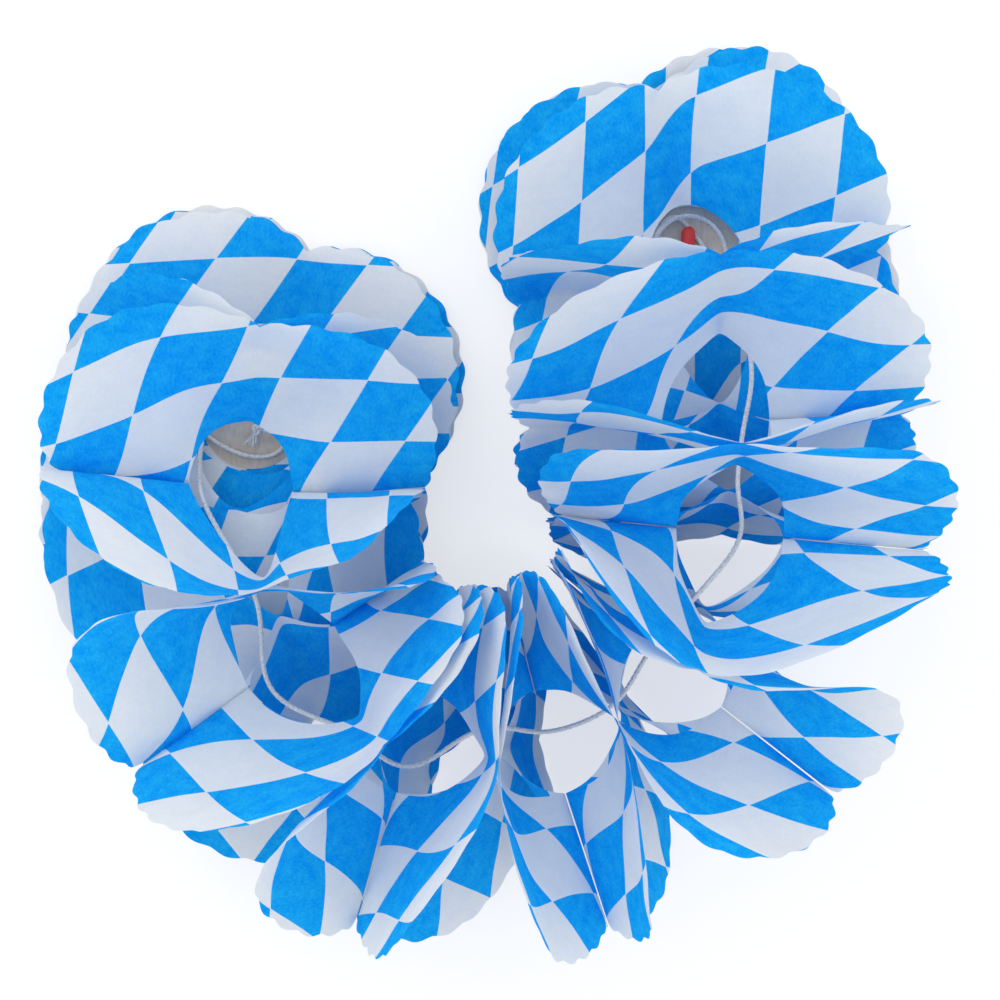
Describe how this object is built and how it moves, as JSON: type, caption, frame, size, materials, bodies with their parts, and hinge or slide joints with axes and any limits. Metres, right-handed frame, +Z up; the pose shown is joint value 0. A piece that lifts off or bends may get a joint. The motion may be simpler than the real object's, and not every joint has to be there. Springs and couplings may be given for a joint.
{
  "type": "paper chain garland",
  "caption": "Accordion garland of lobed tissue sheets with a blue and white diamond print, laid out in a U and threaded on a cotton string between two cardboard end plates.",
  "frame": {"origin": "middle of the footprint, on the table", "axes": "+Z up from the table; +Y towards the end stacks, away from the bottom of the U; +X towards the end stack with the loose string coil"},
  "size_m": [0.3666, 0.3646, 0.1607],
  "materials": {
    "tissue": "matt, printed diamonds",
    "cardboard": "matt grey board",
    "cotton": "twisted, matt",
    "tip": "smooth"
  },
  "bodies": {
    "root": {"sheet_01": "tissue", "sheet_02": "tissue", "sheet_03": "tissue", "sheet_04": "tissue", "sheet_05": "tissue", "sheet_06": "tissue", "sheet_07": "tissue", "sheet_08": "tissue", "sheet_09": "tissue", "sheet_10": "tissue", "sheet_11": "tissue", "sheet_12": "tissue", "sheet_13": "tissue", "sheet_14": "tissue", "sheet_15": "tissue", "sheet_16": "tissue", "sheet_17": "tissue", "sheet_18": "tissue", "sheet_19": "tissue", "sheet_20": "tissue", "sheet_21": "tissue", "sheet_22": "tissue", "end_plate_left": "cardboard", "end_plate_right": "cardboard", "string": "cotton", "string_knot": "cotton", "red_end_tip": "tip"}
  },
  "joints": []
}
